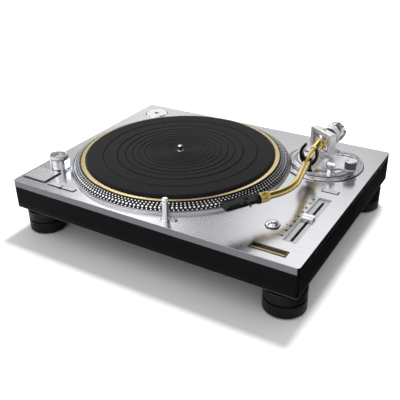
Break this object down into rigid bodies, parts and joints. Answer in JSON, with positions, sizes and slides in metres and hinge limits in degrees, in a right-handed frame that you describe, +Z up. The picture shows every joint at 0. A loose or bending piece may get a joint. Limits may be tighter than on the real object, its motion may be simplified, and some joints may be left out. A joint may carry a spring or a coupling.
{
  "type": "turntable",
  "caption": "Direct-drive record player with a pivoted curved tonearm, pop-up lamp, speed slider and screw-down feet under a heavy layered plinth.",
  "frame": {"origin": "on the surface it stands on, under the middle of the plinth", "axes": "+X to the right along the long front edge, +Y to the back, +Z up"},
  "size_m": [0.453, 0.353, 0.1376],
  "materials": {
    "deck_silver": "brushed, clear anodised",
    "black_metal": "satin black",
    "black_resin": "matt black",
    "black_rubber": "matt black",
    "foot_black": "satin black collar on a soft pad",
    "cast_silver": "turned and polished",
    "brass": "polished",
    "mat_rubber": "charcoal with turned grooves",
    "chrome": "bright",
    "steel": "ground",
    "magnet": "plain",
    "copper": "lacquered winding",
    "dark_lens": "tinted clear window",
    "button_silver": "brushed",
    "black_gloss": "gloss black",
    "bed_silver": "satin, moulded",
    "gold_tube": "gold anodised tube",
    "board_green": "coated circuit board",
    "panel_steel": "satin black",
    "gold_contact": "plated"
  },
  "bodies": {
    "plinth": {"top_plate": "deck_silver", "chassis_walls": "black_metal", "chassis_roof": "black_metal", "motor_pot": "black_metal", "base_plate": "black_resin", "rubber_base": "black_rubber", "bearing_housing": "steel", "motor_stator": "steel", "stator_coils": "copper", "strobe_tower": "cast_silver", "strobe_window": "dark_lens", "lamp_guide": "chrome", "pitch_bed": "bed_silver", "shell_holder": "chrome", "label_plate": "black_gloss", "arm_base_flange": "chrome", "back_panel": "panel_steel", "signal_jacks": "gold_contact", "earth_post": "gold_contact", "mains_inlet": "black_resin", "control_board": "board_green", "power_supply": "panel_steel", "base_screws": "steel"},
    "platter": {"platter": "cast_silver", "brass_plate": "brass", "platter_mat": "mat_rubber", "spindle": "chrome", "rotor_magnet": "magnet"},
    "power_dial": {"power_dial": "cast_silver"},
    "pop_up_lamp": {"pop_up_lamp": "cast_silver"},
    "lamp_button": {"lamp_button": "cast_silver"},
    "start_stop_button": {"start_stop_button": "button_silver"},
    "speed_button_33": {"speed_button_33": "button_silver"},
    "speed_button_45": {"speed_button_45": "button_silver"},
    "reset_button": {"reset_button": "button_silver"},
    "pitch_knob": {"pitch_knob": "chrome"},
    "disc_adaptor": {"disc_adaptor": "chrome"},
    "holder_plug": {"holder_plug": "chrome"},
    "foot_front_left": {"foot_front_left": "foot_black"},
    "foot_front_right": {"foot_front_right": "foot_black"},
    "foot_back_left": {"foot_back_left": "foot_black"},
    "foot_back_right": {"foot_back_right": "foot_black"},
    "height_ring": {"height_ring": "cast_silver"},
    "arm_platform": {"arm_platform": "cast_silver", "arm_yoke": "chrome", "rest_post": "black_gloss", "arm_clip": "black_gloss"},
    "anti_skate_dial": {"anti_skate_dial": "chrome"},
    "lock_lever": {"lock_lever": "chrome"},
    "cue_lever": {"cue_lever": "chrome"},
    "arm_lifter": {"arm_lifter": "chrome"},
    "gimbal": {"gimbal_ring": "chrome"},
    "tonearm": {"arm_hub": "button_silver", "arm_tube": "gold_tube", "tube_sleeve": "gold_tube"},
    "counterweight": {"counterweight": "chrome"},
    "force_scale": {"force_scale": "black_gloss"},
    "locking_nut": {"locking_nut": "gold_tube"},
    "headshell": {"headshell": "black_metal", "finger_lift": "chrome"}
  },
  "joints": [
    {"name": "platter_spin", "type": "hinge", "parent": "plinth", "child": "platter", "pos_m": [-0.0449, -0.0021, 0.0856], "axis": [0, 0, -1], "continuous": true},
    {"name": "power_dial_turn", "type": "hinge", "parent": "plinth", "child": "power_dial", "pos_m": [-0.1908, -0.1127, 0.1056], "axis": [0, 0, 1], "range_deg": [0, 45]},
    {"name": "lamp_pop", "type": "slide", "parent": "plinth", "child": "pop_up_lamp", "axis": [0, 0, 1], "range_m": [-0.0305, 0], "stiffness_N_per_m": 15, "springref_m": 0.012},
    {"name": "lamp_button_press", "type": "slide", "parent": "plinth", "child": "lamp_button", "axis": [0, 0, 1], "range_m": [-0.001, 0], "stiffness_N_per_m": 200, "springref_m": 0.0015},
    {"name": "start_stop_press", "type": "slide", "parent": "plinth", "child": "start_stop_button", "axis": [0, 0, 1], "range_m": [-0.0015, 0], "stiffness_N_per_m": 400, "springref_m": 0.0015},
    {"name": "speed_33_press", "type": "slide", "parent": "plinth", "child": "speed_button_33", "axis": [0, 0, 1], "range_m": [-0.0008, 0], "stiffness_N_per_m": 200, "springref_m": 0.0015},
    {"name": "speed_45_press", "type": "slide", "parent": "plinth", "child": "speed_button_45", "axis": [0, 0, 1], "range_m": [-0.0008, 0], "stiffness_N_per_m": 200, "springref_m": 0.0015},
    {"name": "reset_press", "type": "slide", "parent": "plinth", "child": "reset_button", "axis": [0, 0, 1], "range_m": [-0.0006, 0], "stiffness_N_per_m": 200, "springref_m": 0.0015},
    {"name": "pitch_slide", "type": "slide", "parent": "plinth", "child": "pitch_knob", "axis": [0, 1, 0], "range_m": [-0.048, 0.048]},
    {"name": "adaptor_lift", "type": "slide", "parent": "plinth", "child": "disc_adaptor", "axis": [0, 0, 1], "range_m": [0, 0.02]},
    {"name": "plug_lift", "type": "slide", "parent": "plinth", "child": "holder_plug", "axis": [0, 0, 1], "range_m": [0, 0.02]},
    {"name": "foot_front_left_height", "type": "slide", "parent": "plinth", "child": "foot_front_left", "axis": [0, 0, 1], "range_m": [-0.006, 0]},
    {"name": "foot_front_right_height", "type": "slide", "parent": "plinth", "child": "foot_front_right", "axis": [0, 0, 1], "range_m": [-0.006, 0]},
    {"name": "foot_back_left_height", "type": "slide", "parent": "plinth", "child": "foot_back_left", "axis": [0, 0, 1], "range_m": [-0.006, 0]},
    {"name": "foot_back_right_height", "type": "slide", "parent": "plinth", "child": "foot_back_right", "axis": [0, 0, 1], "range_m": [-0.006, 0]},
    {"name": "arm_height", "type": "slide", "parent": "plinth", "child": "arm_platform", "axis": [0, 0, 1], "range_m": [0, 0.006]},
    {"name": "height_ring_turn", "type": "hinge", "parent": "plinth", "child": "height_ring", "pos_m": [0.151, 0.09, 0.0906], "axis": [0, 0, 1], "range_deg": [0, 305]},
    {"name": "anti_skate_turn", "type": "hinge", "parent": "arm_platform", "child": "anti_skate_dial", "pos_m": [0.1965, 0.077, 0.1006], "axis": [0, 0, 1], "range_deg": [0, 270]},
    {"name": "lock_lever_turn", "type": "hinge", "parent": "arm_platform", "child": "lock_lever", "pos_m": [0.169, 0.113, 0.0976], "axis": [0, 0, -1], "range_deg": [0, 60]},
    {"name": "arm_swing", "type": "hinge", "parent": "arm_platform", "child": "gimbal", "pos_m": [0.14314, 0.10213, 0.1176], "axis": [0, 0, -1], "range_deg": [0, 42], "deforming": ["arm_clip"]},
    {"name": "arm_lift", "type": "hinge", "parent": "gimbal", "child": "tonearm", "pos_m": [0.14314, 0.10213, 0.1176], "axis": [-0.8545, 0.5195, 0], "range_deg": [0, 9], "deforming": ["arm_clip"]},
    {"name": "lifter_rise", "type": "slide", "parent": "arm_platform", "child": "arm_lifter", "axis": [0, 0, 1], "range_m": [0, 0.0042]},
    {"name": "cue_lever_turn", "type": "hinge", "parent": "arm_platform", "child": "cue_lever", "pos_m": [0.17, 0.062, 0.1016], "axis": [-1, 0, 0], "range_deg": [0, 60]},
    {"name": "counterweight_slide", "type": "slide", "parent": "tonearm", "child": "counterweight", "axis": [0.1219, 0.9925, 0], "range_m": [-0.003, 0.012]},
    {"name": "force_scale_turn", "type": "hinge", "parent": "counterweight", "child": "force_scale", "pos_m": [0.14595, 0.12496, 0.1176], "axis": [0.1219, 0.9925, 0], "range_deg": [-95, 365]},
    {"name": "locking_nut_turn", "type": "hinge", "parent": "tonearm", "child": "locking_nut", "pos_m": [0.14257, -0.0979, 0.1176], "axis": [-0.5299, -0.848, 0], "range_deg": [0, 90]},
    {"name": "headshell_pull", "type": "slide", "parent": "tonearm", "child": "headshell", "axis": [-0.5299, -0.848, 0], "range_m": [0, 0.015]}
  ],
  "couplings": [
    {"joint": "height_ring_turn", "follows": "arm_height", "rad_per_m": 872.66},
    {"joint": "lifter_rise", "follows": "arm_lift", "m_per_rad": 0.0257},
    {"joint": "cue_lever_turn", "follows": "arm_lift", "ratio": 6.6},
    {"joint": "force_scale_turn", "follows": "counterweight_slide", "rad_per_m": 523.6}
  ]
}
